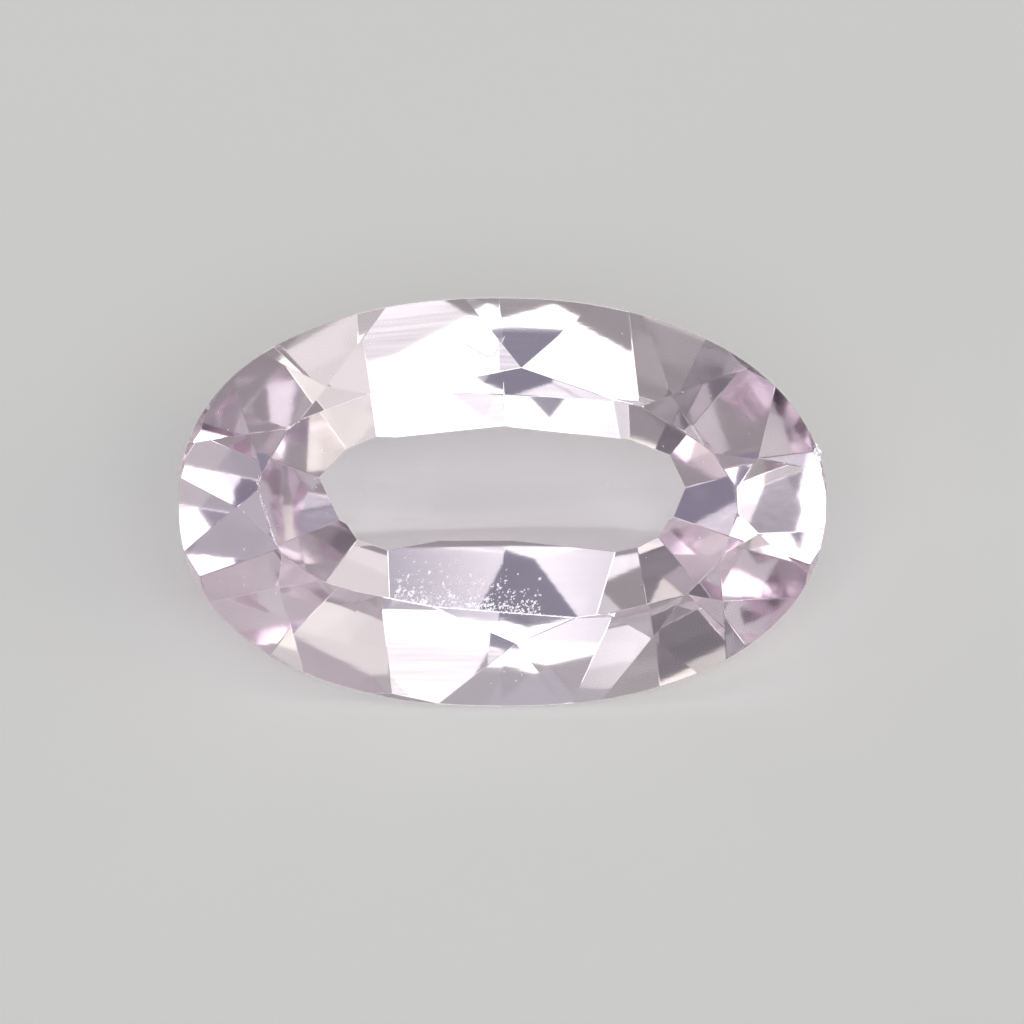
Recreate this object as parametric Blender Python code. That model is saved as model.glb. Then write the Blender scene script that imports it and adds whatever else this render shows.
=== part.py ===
"""A kunzite gemstone, cut as an oval with flat facets and lying on a facet of its underside.

The stone is one solid. It is cut the way a stone is cut by hand: an oval blank is ground against one
plane after another, and each plane leaves a flat facet. The planes of the crown follow from corners
that they share. Those of the underside each have a direction, a slope and a point that they touch.

While it is cut, the stone stands table up: x runs along its length, y across it, z up through the
table, and the middle of the girdle is at zero. All those lengths are in millimetres. The finished
stone is then laid down on its resting facet and scaled to metres.
"""
import math

import bmesh
import bpy
import numpy as np
from mathutils import Matrix, Vector

NODE_NAME = "kunzite_gem"
COLLECTION_NAME = "kunzite_gemstone"
MILLIMETRE = 0.001

# Driving dimensions of the whole stone, in millimetres.
HALF_LENGTH = 6.0
HALF_WIDTH = 3.78
TABLE_HEIGHT = 1.05
GIRDLE_HALF_HEIGHT = 0.10
BLANK_HALF_HEIGHT = 4.0
OUTLINE_SIDES = 120

# How full the oval is in each quarter: 2 is an ellipse, and more bulges towards the corner.
FULLNESS_BACK_RIGHT = 2.10
FULLNESS_BACK_LEFT = 2.24
FULLNESS_FRONT_LEFT = 2.26
FULLNESS_FRONT_RIGHT = 2.22

# Underside: the facets at the girdle are steep, the main ones start a little lower.
GIRDLE_FACETS = 24
GIRDLE_FACET_SLOPE = math.radians(60.0)
MAIN_START_DEPTH = 0.05

# Points of the oval that are tried when a plane is brought up to it.
TOUCH_STEPS = 1440

# Rounds of fitting after which the crown's corners stay where they are.
SETTLING_ROUNDS = 300

# Points nearer to a plane than this lie on it, and corners closer together than the second are one.
ON_PLANE = 0.00001
CORNER_TOLERANCE = 0.004

# The crown's corners, clockwise from the left end. Each star facet has its left and right corner on
# the table's edge and its tip, from which the break facet below it opens out to the girdle, where it
# ends at the two given points of the oval.
STARS = {
    "left": ((-4.18, -0.70), (-4.49, 0.24), (-4.90, -0.17)),
    "left_back": ((-4.45, 0.46), (-3.95, 1.31), (-4.62, 1.29)),
    "back_left": ((-3.69, 1.52), (-2.42, 2.00), (-3.25, 2.11)),
    "back": ((-1.69, 2.06), (2.18, 1.85), (0.33, 2.46)),
    "back_right": ((2.51, 1.77), (3.46, 1.19), (3.22, 1.93)),
    "right_back": ((3.88, 0.87), (4.28, 0.26), (4.67, 0.86)),
    "right": ((4.34, -0.11), (4.06, -0.96), (4.71, -0.56)),
    "right_front": ((4.00, -1.08), (3.30, -1.78), (4.04, -1.84)),
    "front_right": ((3.02, -1.79), (1.95, -2.05), (2.82, -2.48)),
    "front": ((1.44, -2.13), (-1.16, -1.93), (0.16, -2.61)),
    "front_left": ((-1.90, -1.80), (-2.78, -1.63), (-2.50, -2.32)),
    "left_front": ((-3.30, -1.46), (-4.02, -1.00), (-4.12, -1.57)),
}

# Where each break facet ends on the girdle, in the order of the stars.
BREAK_ENDS = {
    "left": ((-5.92, -0.85), (-5.92, 0.48)),
    "left_back": ((-5.82, 1.07), (-5.03, 2.31)),
    "back_left": ((-4.45, 2.74), (-2.08, 3.48)),
    "back": ((-0.67, 3.76), (1.62, 3.63)),
    "back_right": ((2.47, 3.41), (4.62, 2.50)),
    "right_back": ((5.03, 2.11), (5.90, 0.50)),
    "right": ((5.98, -0.61), (5.72, -1.37)),
    "right_front": ((5.53, -1.78), (4.21, -2.89)),
    "front_right": ((3.69, -3.13), (1.84, -3.67)),
    "front": ((1.16, -3.73), (-1.10, -3.73)),
    "front_left": ((-1.34, -3.70), (-3.32, -3.24)),
    "left_front": ((-3.66, -3.15), (-5.38, -1.81)),
}

# Underside: the direction that each main facet faces, in degrees from the right end round the back,
# and the corner of the keel below it, counted from the left.
MAINS = {
    "right": (-2, 4),
    "right_back": (39, 4),
    "back_right": (69, 3),
    "back_middle_right": (84, 2),
    "back_middle_left": (96, 2),
    "back_left": (113, 1),
    "left_back": (128, 0),
    "left": (184, 0),
    "left_front": (227, 0),
    "front_left": (250, 1),
    "front": (270, 2),
    "front_middle_right": (281, 2),
    "front_right": (292, 3),
    "right_front": (318, 4),
}
RESTING_FACET = "front"

# The mains all aim at one level line along the stone, deep below its middle, so that the slope of
# each one follows from its direction. These are the two ends of that line.
AIM_LEFT = Vector((-2.2, 0.0, -3.4))
AIM_RIGHT = Vector((2.4, 0.0, -3.4))

# The keel is a level edge above that line, with corners at even steps. On it lies a shallow facet
# below every main, and faces as that main does.
KEEL_LEFT = Vector((-2.4, -0.35, -2.9))
KEEL_RIGHT = Vector((2.7, -0.35, -2.9))
KEEL_STEPS = 4
KEEL_FACET_SLOPE = math.radians(17.5)


def fullness(angle):
    """Exponent of the quarter of the oval in which the angle lies."""
    quarter = int((angle % math.tau) // (math.pi / 2))
    quarters = (FULLNESS_BACK_RIGHT, FULLNESS_BACK_LEFT, FULLNESS_FRONT_LEFT, FULLNESS_FRONT_RIGHT)
    return quarters[quarter]


def outline_point(angle):
    """Point of the oval: |x/a|^n + |y/b|^n = 1, with its own n in each quarter."""
    power = 2.0 / fullness(angle)
    x = HALF_LENGTH * math.copysign(abs(math.cos(angle)) ** power, math.cos(angle))
    y = HALF_WIDTH * math.copysign(abs(math.sin(angle)) ** power, math.sin(angle))
    return Vector((x, y, 0.0))


def onto_outline(x, y):
    """The point of the oval that lies in the same direction as x, y from the middle."""
    quarter_angle = math.atan2(y / HALF_WIDTH, x / HALF_LENGTH)
    power = fullness(quarter_angle)
    size = (abs(x / HALF_LENGTH) ** power + abs(y / HALF_WIDTH) ** power) ** (1.0 / power)
    return Vector((x / size, y / size, 0.0))


def outline_touching(azimuth):
    """The point of the oval that reaches furthest in the direction of the azimuth."""
    direction = Vector((math.cos(azimuth), math.sin(azimuth), 0.0))
    points = [outline_point(math.tau * step / TOUCH_STEPS) for step in range(TOUCH_STEPS)]
    return max(points, key=direction.dot)


def facet_through(first, second, third):
    """Plane through three points, as a point and a normal that faces away from the middle."""
    normal = (second - first).cross(third - first).normalized()
    if normal.dot(first) < 0.0:
        normal = -normal
    return first, normal


def facet_facing(point, azimuth, slope):
    """Plane of an underside facet on a point, as that point and a normal that faces out and down."""
    across = math.sin(slope)
    outward = Vector((math.cos(azimuth) * across, math.sin(azimuth) * across, -math.cos(slope)))
    return point, outward


def height_on(plane, point):
    """Height of a plane, given as z = a + b x + c y, over a point."""
    return plane[0] + plane[1] * point.x + plane[2] * point.y


def plane_near(points):
    """The plane z = a + b x + c y that passes closest to the points, by least squares."""
    rows = np.array([(1.0, point.x, point.y) for point in points])
    heights = np.array([point.z for point in points])
    return np.linalg.lstsq(rows, heights, rcond=None)[0]


def crown_corners():
    """The corners of each star and of its break in space, with the tip still as high as the table."""
    corners = []
    for name, star in STARS.items():
        left, right, tip = (Vector((x, y, TABLE_HEIGHT)) for x, y in star)
        end_left, end_right = (onto_outline(x, y) for x, y in BREAK_ENDS[name])
        end_left.z = end_right.z = GIRDLE_HALF_HEIGHT
        corners.append({"left": left, "right": right, "tip": tip,
                        "end_left": end_left, "end_right": end_right})
    return corners


def settle_tips(corners):
    """Find the mains, and put each star's tip at the height where its two mains pass.

    A main joins the table between two stars to the girdle between their two breaks. Its plane is
    fitted to those four points and to the two tips, and the tips are then moved to the planes. The
    two steps are repeated until the planes and the tips agree.
    """
    for _ in range(SETTLING_ROUNDS):
        planes = []
        for index, after in enumerate(corners):
            before = corners[index - 1]
            planes.append(plane_near([before["right"], before["tip"], before["end_right"],
                                      after["left"], after["tip"], after["end_left"]]))
        for index, star in enumerate(corners):
            next_plane = planes[(index + 1) % len(planes)]
            heights = [height_on(plane, star["tip"]) for plane in (planes[index], next_plane)]
            star["tip"].z = sum(heights) / 2
    return [(Vector((0.0, 0.0, a)), Vector((-b, -c, 1.0)).normalized()) for a, b, c in planes]


def crown_facets():
    """All planes of the crown: the table, the mains, the stars and the breaks."""
    facets = [(Vector((0.0, 0.0, TABLE_HEIGHT)), Vector((0.0, 0.0, 1.0)))]
    corners = crown_corners()
    facets += settle_tips(corners)
    for star in corners:
        facets.append(facet_through(star["left"], star["right"], star["tip"]))
        facets.append(facet_through(star["end_left"], star["end_right"], star["tip"]))
    return facets


def underside_main(name):
    """Main facet of the underside: from the oval, a little below the girdle, to the line it aims at."""
    azimuth = math.radians(MAINS[name][0])
    touching = outline_touching(azimuth)
    touching.z = -GIRDLE_HALF_HEIGHT - MAIN_START_DEPTH
    direction = Vector((math.cos(azimuth), math.sin(azimuth), 0.0))
    aim = max(AIM_LEFT, AIM_RIGHT, key=direction.dot)
    slope = math.atan2(touching.z - aim.z, direction.dot(touching - aim))
    return facet_facing(touching, azimuth, slope)


def underside_facets():
    """All planes of the underside: girdle facets, mains, and the shallow facets beside the keel."""
    facets = []
    for step in range(GIRDLE_FACETS):
        azimuth = math.tau * (step + 0.5) / GIRDLE_FACETS
        touching = outline_touching(azimuth)
        touching.z = -GIRDLE_HALF_HEIGHT
        facets.append(facet_facing(touching, azimuth, GIRDLE_FACET_SLOPE))
    for name, (direction, corner) in MAINS.items():
        facets.append(underside_main(name))
        on_keel = KEEL_LEFT.lerp(KEEL_RIGHT, corner / KEEL_STEPS)
        facets.append(facet_facing(on_keel, math.radians(direction), KEEL_FACET_SLOPE))
    return facets


def oval_blank():
    """Upright oval cylinder that the stone is cut from."""
    blank = bmesh.new()
    made = bmesh.ops.create_circle(blank, cap_ends=True, segments=OUTLINE_SIDES, radius=1.0)
    for corner in made["verts"]:
        on_oval = outline_point(math.atan2(corner.co.y, corner.co.x))
        corner.co = on_oval - Vector((0.0, 0.0, BLANK_HALF_HEIGHT))
    raised = bmesh.ops.extrude_face_region(blank, geom=blank.faces[:])
    top = [part for part in raised["geom"] if isinstance(part, bmesh.types.BMVert)]
    bmesh.ops.translate(blank, vec=(0.0, 0.0, 2 * BLANK_HALF_HEIGHT), verts=top)
    bmesh.ops.recalc_face_normals(blank, faces=blank.faces[:])
    return blank


def grind(stone, point, normal):
    """Take away what stands outside the plane, and close the flat that is left."""
    everything = stone.verts[:] + stone.edges[:] + stone.faces[:]
    cut = bmesh.ops.bisect_plane(stone, geom=everything, dist=ON_PLANE, plane_co=point,
                                 plane_no=normal, clear_outer=True)
    rim = [part for part in cut["geom_cut"] if isinstance(part, bmesh.types.BMEdge)]
    if rim:
        bmesh.ops.holes_fill(stone, edges=rim)


def cut_stone():
    """The whole stone, table up, in millimetres."""
    stone = oval_blank()
    for point, normal in crown_facets() + underside_facets():
        grind(stone, point, normal)
    bmesh.ops.remove_doubles(stone, verts=stone.verts[:], dist=CORNER_TOLERANCE)
    bmesh.ops.dissolve_degenerate(stone, edges=stone.edges[:], dist=CORNER_TOLERANCE)
    bmesh.ops.recalc_face_normals(stone, faces=stone.faces[:])
    return stone


def lay_down(stone):
    """Turn the stone onto its resting facet, in metres, with the origin under the middle of its box."""
    outward = underside_main(RESTING_FACET)[1]
    turn = outward.rotation_difference(Vector((0.0, 0.0, -1.0))).to_matrix().to_4x4()
    bmesh.ops.transform(stone, matrix=Matrix.Scale(MILLIMETRE, 4) @ turn, verts=stone.verts[:])
    low = Vector([min(vert.co[axis] for vert in stone.verts) for axis in range(3)])
    high = Vector([max(vert.co[axis] for vert in stone.verts) for axis in range(3)])
    middle = (low + high) / 2
    middle.z = low.z
    bmesh.ops.translate(stone, vec=-middle, verts=stone.verts[:])


def kunzite_material():
    """Clear, very pale lilac."""
    material = bpy.data.materials.new("kunzite_lilac")
    material.use_nodes = True
    shader = material.node_tree.nodes["Principled BSDF"]
    shader.inputs["Base Color"].default_value = (0.91, 0.84, 0.92, 1.0)
    shader.inputs["Roughness"].default_value = 0.02
    shader.inputs["Metallic"].default_value = 0.0
    shader.inputs["IOR"].default_value = 1.66
    shader.inputs["Transmission Weight"].default_value = 1.0
    return material


def main():
    for old in list(bpy.data.objects):
        bpy.data.objects.remove(old, do_unlink=True)
    collection = bpy.data.collections.new(COLLECTION_NAME)
    bpy.context.scene.collection.children.link(collection)
    stone = cut_stone()
    lay_down(stone)
    mesh = bpy.data.meshes.new(NODE_NAME)
    stone.to_mesh(mesh)
    stone.free()
    mesh.materials.append(kunzite_material())
    collection.objects.link(bpy.data.objects.new(NODE_NAME, mesh))


main()
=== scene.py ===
"""A clear, pale lilac kunzite gemstone with flat facets, lying on one facet on a pale floor."""
import math

import bmesh
import bpy
import numpy as np
from mathutils import Matrix, Quaternion, Vector


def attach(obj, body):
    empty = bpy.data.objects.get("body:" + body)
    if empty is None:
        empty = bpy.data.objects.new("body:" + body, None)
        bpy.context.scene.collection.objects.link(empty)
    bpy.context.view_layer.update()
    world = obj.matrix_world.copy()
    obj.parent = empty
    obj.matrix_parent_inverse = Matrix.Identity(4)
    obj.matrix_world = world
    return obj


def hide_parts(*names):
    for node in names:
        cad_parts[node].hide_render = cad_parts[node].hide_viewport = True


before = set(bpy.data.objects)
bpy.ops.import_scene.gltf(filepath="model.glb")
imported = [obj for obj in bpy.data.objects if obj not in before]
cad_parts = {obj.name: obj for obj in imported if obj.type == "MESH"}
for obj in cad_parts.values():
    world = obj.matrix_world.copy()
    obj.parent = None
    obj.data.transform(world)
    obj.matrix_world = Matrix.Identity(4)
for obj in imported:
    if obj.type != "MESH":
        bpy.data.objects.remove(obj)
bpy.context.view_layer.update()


# The stone. The real piece is one crystal of kunzite, cut and polished by hand: a broad table on top,
# stars, mains and breaks round it, a thin girdle, and an underside that narrows to a short keel. The
# facets come from the solid's own planes, and every edge between them is worn round by a hair.
NODE = "kunzite_gem"
MILLIMETRE = 0.001
SAME_CORNER = 1e-6
FLAT_ENOUGH = math.radians(0.2)
SMALLEST_FACET = 2e-5
SLACK = 0.004
ON_PLANE = 1e-4
TINY_EDGE = 0.0005
ROUNDED_FROM = math.radians(6.0)
EDGE_REACH = 0.016
EDGE_STEPS = (-0.5, 0.5)
BLANK_TO_STONE = 2.2


def facet_planes(node):
    """Planes of the node's flat facets in millimetres: a normal and its distance from the origin.

    Coplanar triangles are joined to facets first. A plane counts when no corner stands outside it.
    """
    solid = bmesh.new()
    solid.from_mesh(node.data)
    bmesh.ops.remove_doubles(solid, verts=solid.verts[:], dist=SAME_CORNER)
    bmesh.ops.scale(solid, vec=(1 / MILLIMETRE,) * 3, verts=solid.verts[:])
    bmesh.ops.dissolve_limit(solid, angle_limit=FLAT_ENOUGH, verts=solid.verts[:], edges=solid.edges[:])
    solid.normal_update()
    corners = np.array([vert.co for vert in solid.verts])
    planes = []
    for face in solid.faces:
        normal = np.array(face.normal)
        distance = float(normal @ np.mean([vert.co for vert in face.verts], axis=0))
        if face.calc_area() > SMALLEST_FACET and (corners @ normal).max() < distance + SLACK:
            planes.append((normal, distance, face.calc_area()))
    solid.free()
    return planes, corners


def grind(stone, normal, distance):
    """Take away what stands outside a plane, and close the flat that is left."""
    everything = stone.verts[:] + stone.edges[:] + stone.faces[:]
    bmesh.ops.bisect_plane(stone, geom=everything, dist=ON_PLANE, plane_co=Vector(normal) * distance,
                           plane_no=normal, clear_outer=True)
    rim = [edge for edge in stone.edges if edge.is_boundary]
    if rim:
        bmesh.ops.holes_fill(stone, edges=rim)


def rounding_planes(stone):
    """Narrow flats along the edges: each touches a small circle that is tangent to both facets."""
    flats = []
    for edge in stone.edges:
        first, second = (face.normal.copy() for face in edge.link_faces)
        turn = first.angle(second)
        if turn < ROUNDED_FROM:
            continue
        middle = (edge.verts[0].co + edge.verts[1].co) / 2
        bisector = (first + second).normalized()
        radius = EDGE_REACH / math.tan(turn / 2)
        centre = middle - bisector * (radius / math.cos(turn / 2))
        axis = first.cross(second).normalized()
        for share in EDGE_STEPS:
            normal = Quaternion(axis, share * turn / 2) @ bisector
            flats.append((normal, normal.dot(centre) + radius))
    return flats


planes, corners = facet_planes(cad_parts[NODE])
blank_size = BLANK_TO_STONE * float(np.abs(corners).max())
stone = bmesh.new()
bmesh.ops.create_cube(stone, size=blank_size)
for normal, distance, _ in planes:
    grind(stone, normal, distance)
stone.normal_update()
for normal, distance in rounding_planes(stone):
    grind(stone, normal, distance)
bmesh.ops.remove_doubles(stone, verts=stone.verts[:], dist=TINY_EDGE)
bmesh.ops.dissolve_degenerate(stone, edges=stone.edges[:], dist=TINY_EDGE)
bmesh.ops.recalc_face_normals(stone, faces=stone.faces[:])

# The stone's own axes: along its length, across it, and out of the table. Its middle lies on the
# girdle, halfway along both, so that any place on it can be given in millimetres as the cutter would.
TABLE_HEIGHT = 1.05
table_normal, table_distance, _ = max(planes, key=lambda plane: plane[2])
out_of_table = Vector(table_normal)
along = Vector((1.0, 0.0, 0.0))
across = out_of_table.cross(along)
along_reach = corners @ np.array(along)
across_reach = corners @ np.array(across)
stone_middle = (along * float(along_reach.max() + along_reach.min()) / 2
                + across * float(across_reach.max() + across_reach.min()) / 2
                + out_of_table * float(table_distance - TABLE_HEIGHT))
stone_axes = np.array((along, across, out_of_table))


def in_frame(places):
    """Points given on the stone's own axes in millimetres, as points of the frame in metres."""
    return (np.array(stone_middle) + places @ stone_axes) * MILLIMETRE


# Clear kunzite: no surface colour at all. The pale lilac comes from the light's way through the stone,
# which loses a little green. The crown is polished bright. The underside keeps a trace of the lap, a
# very fine ripple along the stone that draws the reflections inside it out into streaks.
CROWN_ROUGHNESS = 0.0
UNDERSIDE_ROUGHNESS = 0.045
RIPPLE_ALONG = 0.3
RIPPLE_ACROSS = 6.0
RIPPLE_HEIGHT = 0.28e-6
LAPPED_BELOW = -0.15
POLISHED_ABOVE = -0.05
KUNZITE_IOR = 1.667
KUNZITE_TINT = (0.90, 0.50, 0.80, 1.0)
KUNZITE_DEPTH = 23.0


def part_along(tree, vector, axis):
    """Socket with how far the vector reaches along the axis, which is their dot product."""
    node = tree.nodes.new("ShaderNodeVectorMath")
    node.operation = "DOT_PRODUCT"
    node.inputs[1].default_value = axis
    tree.links.new(vector, node.inputs[0])
    return node.outputs["Value"]


clear = bpy.data.materials.new("clear_kunzite")
clear.use_nodes = True
nodes, links = clear.node_tree.nodes, clear.node_tree.links
shader = nodes["Principled BSDF"]
shader.inputs["Base Color"].default_value = (1.0, 1.0, 1.0, 1.0)
shader.inputs["Roughness"].default_value = CROWN_ROUGHNESS
shader.inputs["IOR"].default_value = KUNZITE_IOR
shader.inputs["Transmission Weight"].default_value = 1.0
absorption = nodes.new("ShaderNodeVolumeAbsorption")
absorption.inputs["Color"].default_value = KUNZITE_TINT
absorption.inputs["Density"].default_value = KUNZITE_DEPTH
links.new(absorption.outputs["Volume"], nodes["Material Output"].inputs["Volume"])

coordinates = nodes.new("ShaderNodeTexCoord")
in_millimetres = nodes.new("ShaderNodeVectorMath")
in_millimetres.operation = "SCALE"
in_millimetres.inputs["Scale"].default_value = 1 / MILLIMETRE
links.new(coordinates.outputs["Object"], in_millimetres.inputs[0])
from_middle = nodes.new("ShaderNodeVectorMath")
from_middle.operation = "SUBTRACT"
from_middle.inputs[1].default_value = stone_middle
links.new(in_millimetres.outputs["Vector"], from_middle.inputs[0])
on_axes = nodes.new("ShaderNodeCombineXYZ")
for letter, axis, scale in (("X", along, RIPPLE_ALONG), ("Y", across, RIPPLE_ACROSS),
                            ("Z", out_of_table, RIPPLE_ACROSS)):
    reach = part_along(clear.node_tree, from_middle.outputs["Vector"], axis * scale)
    links.new(reach, on_axes.inputs[letter])
height_over_girdle = part_along(clear.node_tree, from_middle.outputs["Vector"], out_of_table)
polish = nodes.new("ShaderNodeMapRange")
polish.inputs["From Min"].default_value = LAPPED_BELOW
polish.inputs["From Max"].default_value = POLISHED_ABOVE
polish.inputs["To Min"].default_value = UNDERSIDE_ROUGHNESS
polish.inputs["To Max"].default_value = CROWN_ROUGHNESS
links.new(height_over_girdle, polish.inputs["Value"])
links.new(polish.outputs["Result"], shader.inputs["Roughness"])
ripple = nodes.new("ShaderNodeTexNoise")
ripple.inputs["Scale"].default_value = 1.0
ripple.inputs["Detail"].default_value = 1.0
links.new(on_axes.outputs["Vector"], ripple.inputs["Vector"])
bump = nodes.new("ShaderNodeBump")
bump.inputs["Strength"].default_value = 1.0
bump.inputs["Distance"].default_value = RIPPLE_HEIGHT
links.new(ripple.outputs["Fac"], bump.inputs["Height"])
links.new(bump.outputs["Normal"], shader.inputs["Normal"])

bmesh.ops.scale(stone, vec=(MILLIMETRE,) * 3, verts=stone.verts[:])
stone_mesh = bpy.data.meshes.new("cut_stone")
stone.to_mesh(stone_mesh)
stone.free()
stone_mesh.materials.append(clear)
cut_stone = bpy.data.objects.new("cut_stone", stone_mesh)
bpy.context.scene.collection.objects.link(cut_stone)
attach(cut_stone, "root")
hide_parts(NODE)


# Worn table. Along its front edge the table is scuffed to a band of tiny bruises, thickest at the edge
# and thinning out inwards, and parts of its back and left edges are bruised too. Each bruise is a
# splinter of crushed, whitish stone that lies in the facet and stands out of it by a few microns.
FACES_UP = 0.05
crown_planes = []
for normal, distance, _ in planes:
    facing = stone_axes @ normal
    if facing[2] > FACES_UP:
        crown_planes.append((*facing, distance - float(normal @ np.array(stone_middle))))
crown_planes = np.array(crown_planes)


def on_crown(x, y):
    """Where the crown lies over x, y: its height there, and the facet's normal on the stone's axes.

    A plane's height is its distance less the normal's x and y parts, over the normal's z part, and
    the crown is the lowest of all planes.
    """
    heights = crown_planes[:, 3] - np.outer(x, crown_planes[:, 0]) - np.outer(y, crown_planes[:, 1])
    heights = heights / crown_planes[:, 2]
    lowest = heights.argmin(axis=1)
    return heights[np.arange(len(x)), lowest], crown_planes[lowest, :3]


SPLINTER_CORNERS = np.array([(1.0, 0.0, 0.0), (0.3, 0.9, 0.1), (-0.7, 0.6, -0.1), (-1.0, -0.2, 0.1),
                             (-0.2, -0.9, 0.0), (0.7, -0.6, -0.1), (0.1, 0.1, 1.0), (0.0, -0.1, -1.0)])
SPLINTER_FACES = np.array([(0, 1, 6), (1, 2, 6), (2, 3, 6), (3, 4, 6), (4, 5, 6), (5, 0, 6),
                           (1, 0, 7), (2, 1, 7), (3, 2, 7), (4, 3, 7), (5, 4, 7), (0, 5, 7)])
UNEVEN_FROM, UNEVEN_TO = 0.67, 1.33


def laid_on_stone(name, mesh):
    """A piece that lies on the stone, seen straight but not through the stone or mirrored in it."""
    piece = bpy.data.objects.new(name, mesh)
    bpy.context.scene.collection.objects.link(piece)
    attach(piece, "root")
    piece.visible_transmission = False
    piece.visible_glossy = False


def splinters(name, x, y, length, width, height, heading, seed, material):
    """Small flat splinters that lie on the crown at x, y: one closed mesh of many.

    Each is the same eight-cornered lens, scaled by its length, width and height, with each corner
    moved in or out by up to a third, turned by its heading in the facet, and put on the facet.
    """
    count = len(x)
    each_corner = (count, len(SPLINTER_CORNERS), 1)
    uneven = np.random.default_rng(seed).uniform(UNEVEN_FROM, UNEVEN_TO, each_corner)
    size = np.stack((length / 2, width / 2, height / 2), axis=1)[:, None, :]
    shape = SPLINTER_CORNERS[None] * uneven * size
    z, normals = on_crown(x, y)
    heading_axis = np.stack((np.cos(heading), np.sin(heading), np.zeros(count)), axis=1)
    first = heading_axis - normals * (heading_axis * normals).sum(axis=1, keepdims=True)
    first /= np.linalg.norm(first, axis=1, keepdims=True)
    second = np.cross(normals, first)
    turned = (shape[..., :1] * first[:, None] + shape[..., 1:2] * second[:, None]
              + shape[..., 2:] * normals[:, None])
    places = np.stack((x, y, z), axis=1)[:, None] + turned
    verts = in_frame(places.reshape(-1, 3))
    first_corner = len(SPLINTER_CORNERS) * np.arange(count)[:, None, None]
    faces = (SPLINTER_FACES[None] + first_corner).reshape(-1, 3)
    mesh = bpy.data.meshes.new(name)
    mesh.from_pydata(verts.tolist(), [], faces.tolist())
    mesh.materials.append(material)
    laid_on_stone(name, mesh)


def powdery(name, grain_scale, darker, lighter, painted_glow):
    """A dull, whitish, grainy material: fine noise runs from the darker colour to the lighter one.

    Each colour comes with the noise value at which it begins. The painted glow is light that leaves it by
    itself: painted light that makes the material brighter than the light falling on it would.
    """
    material = bpy.data.materials.new(name)
    material.use_nodes = True
    nodes, links = material.node_tree.nodes, material.node_tree.links
    shader = nodes["Principled BSDF"]
    grain = nodes.new("ShaderNodeTexNoise")
    grain.inputs["Scale"].default_value = grain_scale
    links.new(nodes.new("ShaderNodeTexCoord").outputs["Object"], grain.inputs["Vector"])
    whiteness = nodes.new("ShaderNodeValToRGB")
    for stop, (position, colour) in zip(whiteness.color_ramp.elements, (darker, lighter)):
        stop.position = position
        stop.color = colour
    links.new(grain.outputs["Fac"], whiteness.inputs["Fac"])
    links.new(whiteness.outputs["Color"], shader.inputs["Base Color"])
    links.new(whiteness.outputs["Color"], shader.inputs["Emission Color"])
    # Painted glow: the emission, in the material's own colour, brightens it as if it were lit.
    shader.inputs["Emission Strength"].default_value = painted_glow
    return material, shader


# Crushed stone is whitish with a lilac cast and dull; its emission is a painted glow that brightens it.
crushed, shader = powdery("crushed_kunzite_painted_glow", 20000.0, (0.35, (0.70, 0.68, 0.80, 1.0)),
                          (0.60, (1.0, 0.98, 1.0, 1.0)), painted_glow=0.40)
shader.inputs["Roughness"].default_value = 0.35
shader.inputs["IOR"].default_value = KUNZITE_IOR

SCUFF_LEFT, SCUFF_RIGHT = -1.98, 0.70
SCUFF_COUNT = 520
SCUFF_REACH = 0.20
SCUFF_WIDEST = 0.78
SCUFF_HEADING = math.radians(32.0)
SCUFF_TURN = 0.5
SCUFF_SHORTEST, SCUFF_LONGER = 0.024, 0.015
SCUFF_THINNEST, SCUFF_THICKER = 0.006, 0.15
TABLE_FRONT = ((-1.98, -1.76), (-1.16, -1.93), (0.70, -2.07))

chance = np.random.default_rng(7)
x = chance.uniform(SCUFF_LEFT, SCUFF_RIGHT, SCUFF_COUNT)
edge_y = np.interp(x, *zip(*TABLE_FRONT))
y = edge_y + np.minimum(chance.exponential(SCUFF_REACH, SCUFF_COUNT), SCUFF_WIDEST)
length = SCUFF_SHORTEST + chance.exponential(SCUFF_LONGER, SCUFF_COUNT)
width = length * chance.uniform(0.45, 0.95, SCUFF_COUNT)
heading = SCUFF_HEADING + chance.normal(0.0, SCUFF_TURN, SCUFF_COUNT)
splinters("scuffed_table", x, y, length, width, SCUFF_THINNEST + SCUFF_THICKER * length, heading,
          seed=11, material=crushed)

# Each bruised stretch of an edge runs from one point to another and has a number of splinters.
BRUISED_EDGES = (((-2.42, 2.00), (-1.70, 2.06), 30), ((-4.18, -0.70), (-4.49, 0.24), 34),
                 ((-4.49, 0.24), (-4.45, 0.46), 8), ((-3.95, 1.31), (-3.69, 1.52), 5),
                 ((2.18, 1.85), (2.51, 1.77), 5), ((-1.16, -1.93), (1.44, -2.13), 70))
BRUISE_SPREAD = 0.012
BRUISE_SHORTEST, BRUISE_LONGER = 0.020, 0.012
BRUISE_THINNEST, BRUISE_THICKER = 0.006, 0.2
BRUISE_WIDTH = 0.5
edge_starts, edge_ends, edge_counts = zip(*BRUISED_EDGES)
starts = np.repeat(edge_starts, edge_counts, axis=0)
ends = np.repeat(edge_ends, edge_counts, axis=0)
share = chance.uniform(0.0, 1.0, (len(starts), 1))
places = starts + share * (ends - starts) + chance.normal(0.0, BRUISE_SPREAD, (len(starts), 2))
heading = np.arctan2(*(ends - starts).T[::-1])
length = BRUISE_SHORTEST + chance.exponential(BRUISE_LONGER, len(starts))
splinters("bruised_edges", places[:, 0], places[:, 1], length, BRUISE_WIDTH * length,
          BRUISE_THINNEST + BRUISE_THICKER * length, heading, seed=12, material=crushed)


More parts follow.
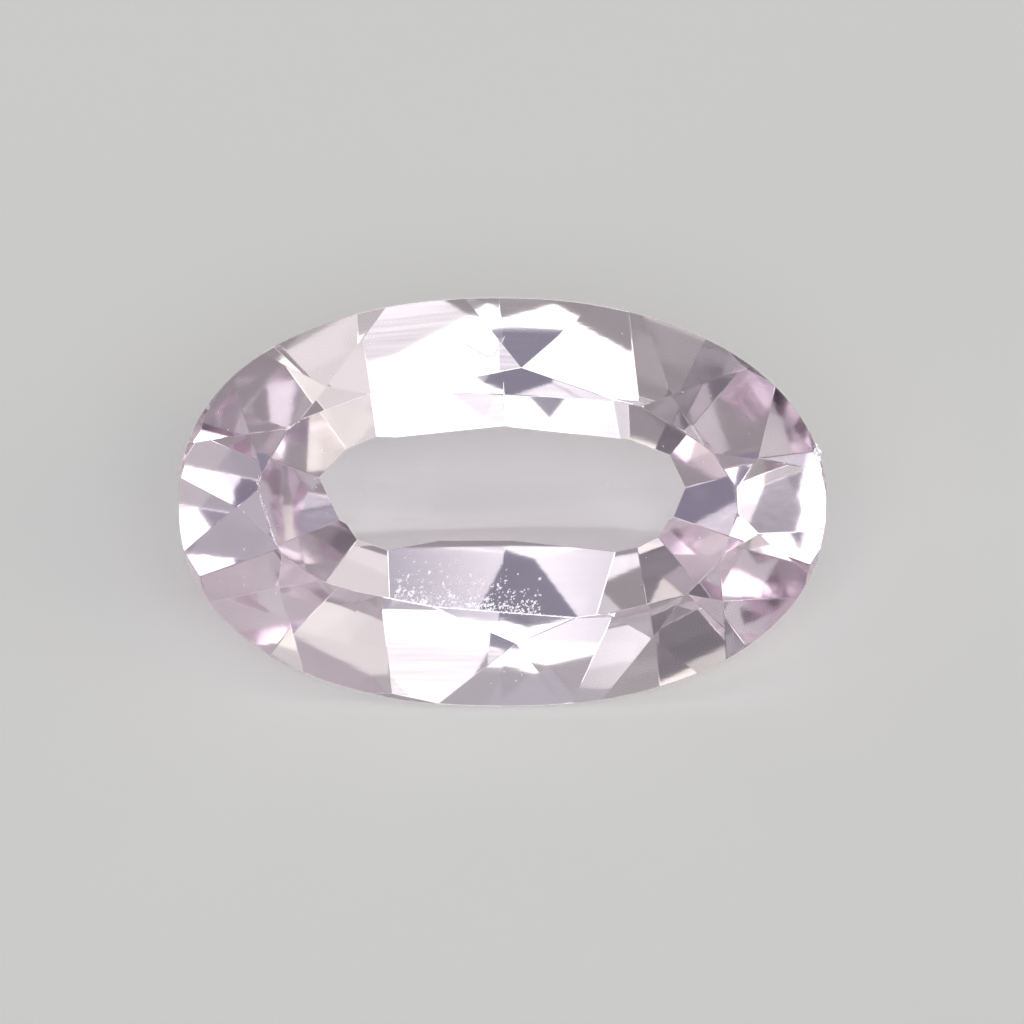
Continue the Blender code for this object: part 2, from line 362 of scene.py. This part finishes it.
# Nicked girdle. At the right end the thin girdle is chipped: a small knot of splinters of crushed stone
# clings to the crown's rim there, thick in the middle and thinning out along the edge.
NICK_MIDDLE = (5.82, 0.80)
NICK_SPREAD = (0.040, 0.11)
NICK_COUNT = 110
NICK_SHORTEST, NICK_LONGER = 0.030, 0.018
NICK_THINNEST, NICK_THICKER = 0.012, 0.3
NICK_WIDTH = 0.6
x = chance.normal(NICK_MIDDLE[0], NICK_SPREAD[0], NICK_COUNT)
y = chance.normal(NICK_MIDDLE[1], NICK_SPREAD[1], NICK_COUNT)
length = NICK_SHORTEST + chance.exponential(NICK_LONGER, NICK_COUNT)
splinters("nicked_girdle", x, y, length, NICK_WIDTH * length, NICK_THINNEST + NICK_THICKER * length,
          chance.uniform(0.0, math.tau, NICK_COUNT), seed=14, material=crushed)


# Dust and a fibre. Pale specks lie all over the crown, a little larger ones in places of their own and
# tiny ones anywhere, and one short white fibre, bent like a tick, lies on the long facet behind the
# table. They only lie on the stone.
# The lint's own colour is pale; its emission is a painted glow that brightens the specks and the fibre.
pale, shader = powdery("pale_lint_painted_glow", 12000.0, (0.0, (0.75, 0.74, 0.73, 1.0)),
                       (1.0, (0.97, 0.97, 0.96, 1.0)), painted_glow=0.35)
shader.inputs["Roughness"].default_value = 0.7

SEEN_SPECKS = np.array([(0.25, -2.80), (0.25, -3.30), (-0.21, -3.35), (0.36, -3.19), (0.03, -3.13),
                        (2.95, 1.02), (2.21, 3.11), (-1.45, 0.62), (1.10, 0.95), (0.42, -0.95),
                        (-0.85, -1.05), (1.93, 0.31), (-2.60, 0.15), (3.31, 2.02), (-3.36, 2.41),
                        (-5.25, 1.65), (-5.58, 1.33), (-5.06, 1.33), (-5.23, -1.44), (-4.77, -1.39),
                        (-4.77, -1.54), (-4.75, -0.19), (-4.75, -0.87)])
SEEN_SPECK_LENGTH = 0.032
LOOSE_SPECKS = 90
LOOSE_SPECK_LENGTHS = (0.010, 0.020)
LOOSE_HALF_FIELD = (5.0, 3.0)
LOOSE_HALF_OVAL = (5.4, 3.3)
SPECK_WIDTH = 0.7
SPECK_THICKNESS = 0.4
loose = np.stack([chance.uniform(-half, half, LOOSE_SPECKS) for half in LOOSE_HALF_FIELD], axis=1)
loose = loose[((loose / LOOSE_HALF_OVAL) ** 2).sum(axis=1) < 1.0]
specks = np.concatenate((SEEN_SPECKS, loose))
seen_lengths = np.full(len(SEEN_SPECKS), SEEN_SPECK_LENGTH)
length = np.concatenate((seen_lengths, chance.uniform(*LOOSE_SPECK_LENGTHS, len(loose))))
splinters("dust_specks", specks[:, 0], specks[:, 1], length, SPECK_WIDTH * length,
          SPECK_THICKNESS * length, chance.uniform(0.0, math.tau, len(specks)), seed=13, material=pale)

FIBRE_PATH = np.array([(-0.68, 2.90), (-0.61, 2.86), (-0.53, 2.81), (-0.46, 2.78), (-0.38, 2.72),
                       (-0.29, 2.67), (-0.22, 2.66), (-0.15, 2.70), (-0.10, 2.79), (-0.05, 2.88),
                       (0.00, 2.96), (0.04, 3.05)])
FIBRE_RADIUS = 0.010
FIBRE_POINTS = 48
FIBRE_SIDES = 8
FIBRE_BLUNTNESS = 30
SAME_FIBRE_POINT = 1e-8


def fibre_mesh(path, radius):
    """A round thread along a path on the crown: a circle is carried along it, closed at both ends.

    The path runs from point to point, with rings at even steps of its length. The rings shrink to
    nothing at the ends, by the root of one less a high power of the distance from the middle.
    """
    steps = np.linalg.norm(np.diff(path, axis=0), axis=1)
    way = np.concatenate(([0.0], np.cumsum(steps)))
    at = np.linspace(0.0, way[-1], FIBRE_POINTS)
    x, y = np.interp(at, way, path[:, 0]), np.interp(at, way, path[:, 1])
    z, normals = on_crown(x, y)
    line = np.stack((x, y, z), axis=1) + normals * radius
    forward = np.gradient(line, axis=0)
    forward /= np.linalg.norm(forward, axis=1, keepdims=True)
    side = np.cross(forward, normals)
    side /= np.linalg.norm(side, axis=1, keepdims=True)
    up = np.cross(side, forward)
    round_about = np.linspace(0.0, math.tau, FIBRE_SIDES, endpoint=False)
    from_middle = np.linspace(-1.0, 1.0, FIBRE_POINTS)
    thin = radius * np.sqrt(np.clip(1.0 - from_middle ** FIBRE_BLUNTNESS, 0.0, 1.0))
    ring = (np.cos(round_about)[None, :, None] * side[:, None]
            + np.sin(round_about)[None, :, None] * up[:, None])
    verts = line[:, None] + ring * thin[:, None, None]
    here = np.arange(FIBRE_POINTS - 1)[:, None] * FIBRE_SIDES
    a = np.arange(FIBRE_SIDES)[None]
    b = (a + 1) % FIBRE_SIDES
    faces = np.stack((here + a, here + b, here + FIBRE_SIDES + b, here + FIBRE_SIDES + a), axis=2)
    return verts.reshape(-1, 3), faces.reshape(-1, 4)


verts, faces = fibre_mesh(FIBRE_PATH, FIBRE_RADIUS)
fibre = bmesh.new()
corners_of_fibre = [fibre.verts.new(co) for co in in_frame(verts)]
for face in faces.tolist():
    fibre.faces.new([corners_of_fibre[index] for index in face])
bmesh.ops.remove_doubles(fibre, verts=fibre.verts[:], dist=SAME_FIBRE_POINT)
bmesh.ops.recalc_face_normals(fibre, faces=fibre.faces[:])
fibre_data = bpy.data.meshes.new("white_fibre")
fibre.to_mesh(fibre_data)
fibre.free()
fibre_data.materials.append(pale)
laid_on_stone("white_fibre", fibre_data)


# Floor. A pale, matt, round table top of one colour, a hair below the stone. A faint glow of its own
# stands for the light that comes back to it from a bright room.
FLOOR_RADIUS = 0.30
FLOOR_SIDES = 128
FLOOR_GAP = 0.00002
FLOOR_COLOUR = (0.87, 0.885, 0.87, 1.0)
FLOOR_GLOW = 0.09

disc = bmesh.new()
bmesh.ops.create_circle(disc, cap_ends=True, segments=FLOOR_SIDES, radius=FLOOR_RADIUS)
bmesh.ops.translate(disc, vec=(0.0, 0.0, -FLOOR_GAP), verts=disc.verts[:])
floor_mesh = bpy.data.meshes.new("floor")
disc.to_mesh(floor_mesh)
disc.free()
floor_material = bpy.data.materials.new("pale_floor")
floor_material.use_nodes = True
floor_shader = floor_material.node_tree.nodes["Principled BSDF"]
floor_shader.inputs["Base Color"].default_value = FLOOR_COLOUR
floor_shader.inputs["Emission Color"].default_value = (1.0, 1.0, 1.0, 1.0)
floor_shader.inputs["Emission Strength"].default_value = FLOOR_GLOW
floor_shader.inputs["Roughness"].default_value = 0.9
floor_shader.inputs["Specular IOR Level"].default_value = 0.1
floor_mesh.materials.append(floor_material)
floor = bpy.data.objects.new("floor", floor_mesh)
bpy.context.scene.collection.objects.link(floor)


# Light. One large soft box is round the camera, whose own shape shows dark in it, and dimmer panels and
# cards are on the walls of a dim room. Each has its middle to the right and up, half its width and
# height and its edges' softness, in degrees from the line of sight, and then its level and tint.
ROOM = (0.31, 0.30, 0.30, 1.0)
ROOM_SEEN = (0.50, 0.50, 0.51, 1.0)
PANELS = {
    "dark left wall": (-62.0, 0.0, 20.0, 60.0, 16.0, 0.15, (1.00, 0.94, 1.02)),
    "panel behind": (0.0, 56.0, 26.0, 14.0, 18.0, 0.42, (1.00, 0.96, 1.06)),
    "panel in front": (-2.0, -36.0, 24.0, 12.0, 12.0, 0.48, (0.97, 0.98, 1.05)),
    "right wall": (38.0, 2.0, 20.0, 30.0, 16.0, 0.80, (1.00, 0.98, 0.94)),
    "window on the right": (60.0, 24.0, 12.0, 30.0, 14.0, 1.35, (1.00, 0.99, 0.86)),
    "card behind on the left": (-42.0, 40.0, 8.0, 10.0, 8.0, 1.15, (1.00, 0.96, 0.92)),
    "card in front on the left": (-42.0, -30.0, 9.0, 13.0, 8.0, 1.20, (1.00, 0.97, 0.88)),
    "soft box": (0.0, 0.0, 26.0, 18.0, 8.0, 2.00, (1.00, 1.00, 1.00)),
    "camera in the soft box": (-1.0, 3.0, 11.0, 7.0, 6.0, 0.24, (0.96, 0.96, 1.20)),
}

# The sockets of a colour Mix node: its share, its two colours, and the colour that comes out.
MIX_SHARE, MIX_FIRST, MIX_SECOND, MIX_RESULT = 0, 6, 7, 2

PANEL_SHAPE = ("Panel Right", "Panel Up", "Half Width", "Half Height", "Softness")
panel_group = bpy.data.node_groups.new("soft_panel", "ShaderNodeTree")
for name in ("Right", "Up", *PANEL_SHAPE):
    panel_group.interface.new_socket(name, in_out="INPUT", socket_type="NodeSocketFloat")
panel_group.interface.new_socket("Room", in_out="INPUT", socket_type="NodeSocketColor")
panel_group.interface.new_socket("Light", in_out="INPUT", socket_type="NodeSocketColor")
panel_group.interface.new_socket("Color", in_out="OUTPUT", socket_type="NodeSocketColor")
inner, wires = panel_group.nodes, panel_group.links
given = inner.new("NodeGroupInput")
result = inner.new("NodeGroupOutput")


def computed(tree, operation, *values):
    """A math node in the tree; each value is a number or the socket that feeds it."""
    node = tree.nodes.new("ShaderNodeMath")
    node.operation = operation
    for socket, value in zip(node.inputs, values):
        if isinstance(value, (int, float)):
            socket.default_value = value
        else:
            tree.links.new(value, socket)
    return node.outputs["Value"]


shares = []
for angle, centre, half in (("Right", "Panel Right", "Half Width"), ("Up", "Panel Up", "Half Height")):
    off = computed(panel_group, "ABSOLUTE",
                   computed(panel_group, "SUBTRACT", given.outputs[angle], given.outputs[centre]))
    fade = inner.new("ShaderNodeMapRange")
    fade.interpolation_type = "SMOOTHSTEP"
    half_soft = computed(panel_group, "MULTIPLY", given.outputs["Softness"], 0.5)
    wires.new(computed(panel_group, "SUBTRACT", given.outputs[half], half_soft), fade.inputs["From Min"])
    wires.new(computed(panel_group, "ADD", given.outputs[half], half_soft), fade.inputs["From Max"])
    fade.inputs["To Min"].default_value = 1.0
    fade.inputs["To Max"].default_value = 0.0
    wires.new(off, fade.inputs["Value"])
    shares.append(fade.outputs["Result"])
panel_mix = inner.new("ShaderNodeMix")
panel_mix.data_type = "RGBA"
wires.new(computed(panel_group, "MULTIPLY", *shares), panel_mix.inputs[MIX_SHARE])
wires.new(given.outputs["Room"], panel_mix.inputs[MIX_FIRST])
wires.new(given.outputs["Light"], panel_mix.inputs[MIX_SECOND])
wires.new(panel_mix.outputs[MIX_RESULT], result.inputs["Color"])

world = bpy.data.worlds.new("studio")
bpy.context.scene.world = world
world.use_nodes = True
world.cycles.sampling_method = "NONE"
tree = world.node_tree
background = tree.nodes["Background"]
direction = tree.nodes.new("ShaderNodeTexCoord").outputs["Generated"]
sideways, upwards, outwards = (part_along(tree, direction, axis) for axis in (along, across, out_of_table))
right = computed(tree, "DEGREES", computed(tree, "ARCSINE", sideways))
up = computed(tree, "DEGREES", computed(tree, "ARCTAN2", upwards, outwards))
colour = None
for *shape, level, tint in PANELS.values():
    panel = tree.nodes.new("ShaderNodeGroup")
    panel.node_tree = panel_group
    tree.links.new(right, panel.inputs["Right"])
    tree.links.new(up, panel.inputs["Up"])
    for name, degrees in zip(PANEL_SHAPE, shape):
        panel.inputs[name].default_value = degrees
    panel.inputs["Light"].default_value = (*(level * value for value in tint), 1.0)
    if colour is None:
        panel.inputs["Room"].default_value = ROOM
    else:
        tree.links.new(colour, panel.inputs["Room"])
    colour = panel.outputs["Color"]
seen = tree.nodes.new("ShaderNodeMix")
seen.data_type = "RGBA"
light_path = tree.nodes.new("ShaderNodeLightPath")
tree.links.new(light_path.outputs["Is Camera Ray"], seen.inputs[MIX_SHARE])
tree.links.new(colour, seen.inputs[MIX_FIRST])
seen.inputs[MIX_SECOND].default_value = ROOM_SEEN
tree.links.new(seen.outputs[MIX_RESULT], background.inputs["Color"])
background.inputs["Strength"].default_value = 1.0


# Camera. It looks straight at the table through a long lens, at a point a little to the right of the
# stone's middle and in front of it, from where the picture's width takes in about 19 mm.
LENS = 200.0
SENSOR = 36.0
PICTURE_PIXELS = 1024
PIXELS_PER_MILLIMETRE = 54
FRAME_WIDTH = PICTURE_PIXELS / PIXELS_PER_MILLIMETRE
AIM_ALONG = 0.176
AIM_ACROSS = -0.185
LIGHT_BOUNCES = 16
distance = LENS / SENSOR * FRAME_WIDTH * MILLIMETRE
camera_data = bpy.data.cameras.new("camera")
camera_data.lens = LENS
camera_data.sensor_width = SENSOR
camera_data.clip_start = 0.001
camera_data.clip_end = 2.0
camera = bpy.data.objects.new("camera", camera_data)
aim = (stone_middle + along * AIM_ALONG + across * AIM_ACROSS) * MILLIMETRE
camera.location = aim + out_of_table * distance
camera.rotation_euler = Matrix((along, across, out_of_table)).transposed().to_euler()
bpy.context.scene.collection.objects.link(camera)
bpy.context.scene.camera = camera

scene = bpy.context.scene
scene.view_settings.view_transform = "Standard"
scene.cycles.max_bounces = LIGHT_BOUNCES
scene.cycles.glossy_bounces = LIGHT_BOUNCES
scene.cycles.transmission_bounces = LIGHT_BOUNCES
scene.cycles.blur_glossy = 0.0
scene.cycles.caustics_reflective = True
scene.cycles.caustics_refractive = True
